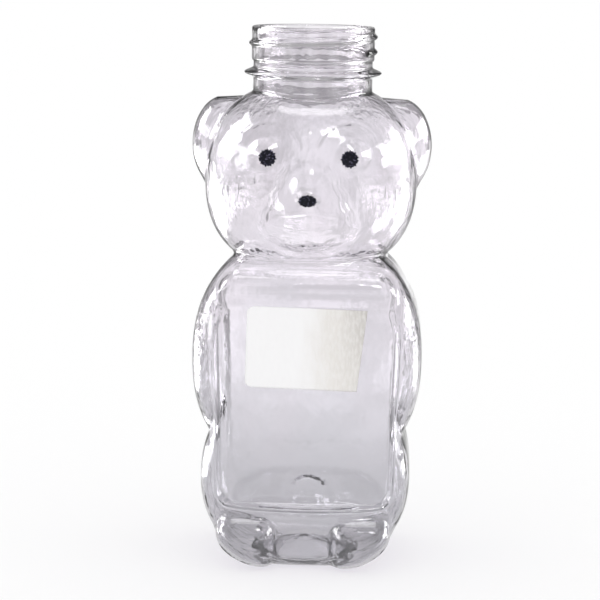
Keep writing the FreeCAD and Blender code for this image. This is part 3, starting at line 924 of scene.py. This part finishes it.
def room(wire, way):
    """Bearing in degrees, height and light of the room along a way.

    It is bright at as many bearings as there are cards, dark at the cards between and uneven.
    """
    x, y, z = wire.add("ShaderNodeSeparateXYZ", Vector=way).outputs
    turn = wire.math("ARCTAN2", x, y)
    between = wire.math("COSINE", wire.math("MULTIPLY", turn, CARDS["count"]))
    cards = wire.ramp(between, CARDS["from"], CARDS["to"], CARDS["level"], 1.0)
    clutter = wire.add("ShaderNodeTexNoise", Vector=way, Scale=CLUTTER["scale"], Detail=2.0)
    clutter = clutter.outputs[0]
    uneven = wire.ramp(clutter, *(CLUTTER[key] for key in ("from", "to", "low", "high")))
    light = wire.math("MULTIPLY", cards, uneven)
    drift = wire.math("MULTIPLY_ADD", clutter, CLUTTER["drift"], -CLUTTER["drift"] / 2)
    bearing = wire.math("MULTIPLY_ADD", turn, 180 / math.pi, drift)
    return bearing, z, light


def add_floor():
    """White floor with a soft shadow; what the plastic bends or reflects meets dark cards on it."""
    bpy.ops.object.select_all(action="DESELECT")
    bpy.ops.mesh.primitive_circle_add(
        vertices=FLOOR_CORNERS, radius=FLOOR_RADIUS, fill_type="NGON"
    )
    floor = bpy.context.active_object
    floor.name = "floor"
    material, wire, shader = new_material("pale_floor")
    wire.tree.nodes.remove(shader)
    path = wire.add("ShaderNodeLightPath").outputs
    way = wire.add("ShaderNodeVectorMath", {"operation": "SUBTRACT"})
    wire.set(way.inputs[0], wire.add("ShaderNodeTexCoord").outputs["Object"])
    way.inputs[1].default_value = EYE_OF_CARDS
    reach = wire.add("ShaderNodeVectorMath", {"operation": "LENGTH"})
    wire.set(reach.inputs[0], way.outputs[0])
    reach = reach.outputs["Value"]
    even = wire.add("ShaderNodeVectorMath", {"operation": "NORMALIZE"})
    wire.set(even.inputs[0], way.outputs[0])
    bearing, _, cards = room(wire, even.outputs[0])
    cards = wire.math("SUBTRACT", cards, 1.0)
    light = wire.math("MULTIPLY_ADD", cards, wire.ramp(reach, *CARDS_REACH), 1.0)
    # painted shadow near the bottle, and a painted fall-off far away, on the floor seen in the
    # plastic
    light = wire.math("MULTIPLY", light, wire.ramp(reach, *NEAR_FLOOR))
    light = wire.math("MULTIPLY", light, wire.ramp(reach, *FAR_FLOOR))
    bent = wire.math("MAXIMUM", path["Is Transmission Ray"], path["Is Glossy Ray"])
    seen = wire.math("MULTIPLY_ADD", path["Is Transmission Ray"], SEEN_SHARE - 1, bent)
    light = wire.math("MULTIPLY", light, seen)
    colour = wire.math("MULTIPLY", light, FLOOR_SEEN_THROUGH["lit"])
    plain = wire.math("SUBTRACT", 1.0, bent)
    colour = wire.math("MULTIPLY_ADD", plain, FLOOR_COLOUR, colour)
    glow = wire.math("MULTIPLY", light, FLOOR_SEEN_THROUGH["glow"])
    near_end = wire.ramp(reach, POOL_FROM, POOL_FROM * POOL_FADE)
    far_end = wire.ramp(reach, POOL_TO, POOL_TO * POOL_FADE, 1.0, 0.0)
    lit = wire.math("MULTIPLY", near_end, far_end)
    lit = wire.math("MULTIPLY", lit, path["Is Glossy Ray"])
    for middle, half, strength in POOLS:
        pool = wire.ramp(wire.off(bearing, middle), half, half + WINDOW_FADE, strength, 0.0)
        glow = wire.math("ADD", glow, wire.math("MULTIPLY", lit, pool))
    glow = wire.math("MULTIPLY_ADD", path["Is Camera Ray"], 1 - DOME_LEVEL * FLOOR_COLOUR, glow)
    both = wire.add("ShaderNodeAddShader")
    wire.set(both.inputs[0], wire.add("ShaderNodeBsdfDiffuse", Color=colour).outputs[0])
    wire.set(both.inputs[1], wire.add("ShaderNodeEmission", Strength=glow).outputs[0])
    wire.set(wire.tree.nodes["Material Output"].inputs["Surface"], both.outputs[0])
    floor.data.materials.append(material)


def add_world():
    """Even dome for floor and paper; windows and dark cards for what plastic bends or reflects."""
    world = bpy.data.worlds.new("studio")
    bpy.context.scene.world = world
    world.use_nodes = True
    wire = Wiring(world.node_tree)
    bearing, z, level = room(wire, wire.add("ShaderNodeTexCoord").outputs["Generated"])
    level = wire.math("MULTIPLY", level, ROOM_LEVEL)
    for middle, half, low, high, strength in WINDOWS:
        side = wire.ramp(wire.off(bearing, middle), half, half + WINDOW_FADE, 1.0, 0.0)
        sill = wire.ramp(z, low, low + SILL_FADE)
        head = wire.ramp(z, high, high + HEAD_FADE, 1.0, 0.0)
        pane = wire.math("MULTIPLY", wire.math("MULTIPLY", side, sill), head)
        level = wire.math("MULTIPLY_ADD", pane, strength, level)
    path = wire.add("ShaderNodeLightPath").outputs
    bent = wire.math("MAXIMUM", path["Is Transmission Ray"], path["Is Glossy Ray"])
    shown = wire.math("MULTIPLY_ADD", path["Is Camera Ray"], 1 - DOME_LEVEL, DOME_LEVEL)
    shown = wire.math("MULTIPLY_ADD", bent, wire.math("SUBTRACT", level, DOME_LEVEL), shown)
    background = world.node_tree.nodes["Background"]
    background.inputs["Color"].default_value = (1, 1, 1, 1)
    wire.set(background.inputs["Strength"], shown)


add_camera()
add_floor()
add_world()
bpy.context.scene.view_settings.view_transform = "Standard"
